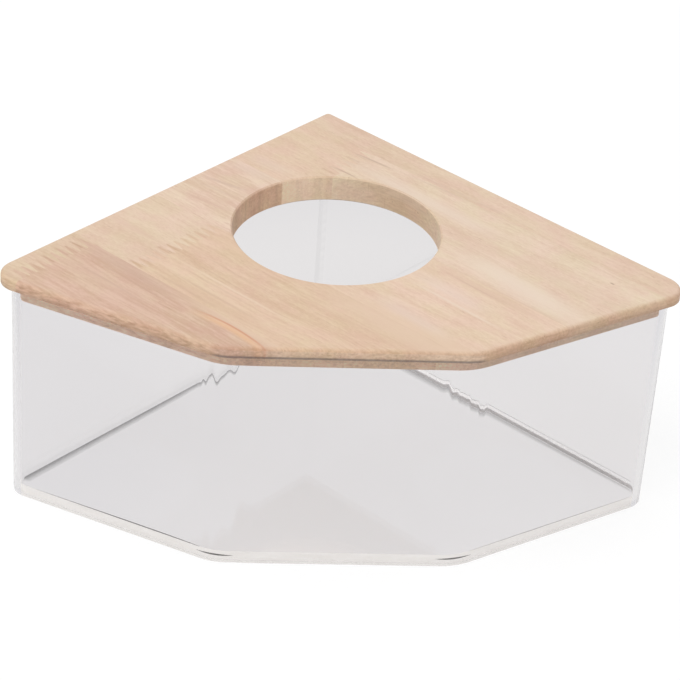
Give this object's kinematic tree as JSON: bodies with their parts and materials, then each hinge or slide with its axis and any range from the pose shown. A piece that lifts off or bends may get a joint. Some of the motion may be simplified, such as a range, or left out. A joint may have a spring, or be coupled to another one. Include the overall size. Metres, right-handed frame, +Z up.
{
  "type": "hamster sand bath",
  "caption": "Corner sand bath for a hamster: clear bent acrylic tank with faceted front and a loose rebated wooden lid with a round entrance.",
  "frame": {"origin": "on the surface that the tank stands on, under the middle of the object's box", "axes": "+Z up; the faceted front faces -Y and the right-angled back corner points to +Y; +X to the right seen from the front"},
  "size_m": [0.379, 0.2668, 0.147],
  "materials": {
    "clear_acrylic": "clear, polished",
    "cream_wood": "sanded, pale cream",
    "tan_wood": "sanded, light tan",
    "pink_wood": "sanded, pinkish tan"
  },
  "bodies": {
    "tank": {"base_plate": "clear_acrylic", "wall_sheet": "clear_acrylic"},
    "lid": {"lid_stave_1": "tan_wood", "lid_stave_2_back": "tan_wood", "lid_stave_2_front": "cream_wood", "lid_stave_3_back": "tan_wood", "lid_stave_3_front": "pink_wood", "lid_stave_4_back": "cream_wood", "lid_stave_4_front": "tan_wood", "lid_stave_5_back": "cream_wood", "lid_stave_5_front": "pink_wood"}
  },
  "joints": [
    {"name": "lid_lift", "type": "slide", "parent": "tank", "child": "lid", "axis": [0, 0, 1], "range_m": [0, 0.16]}
  ]
}
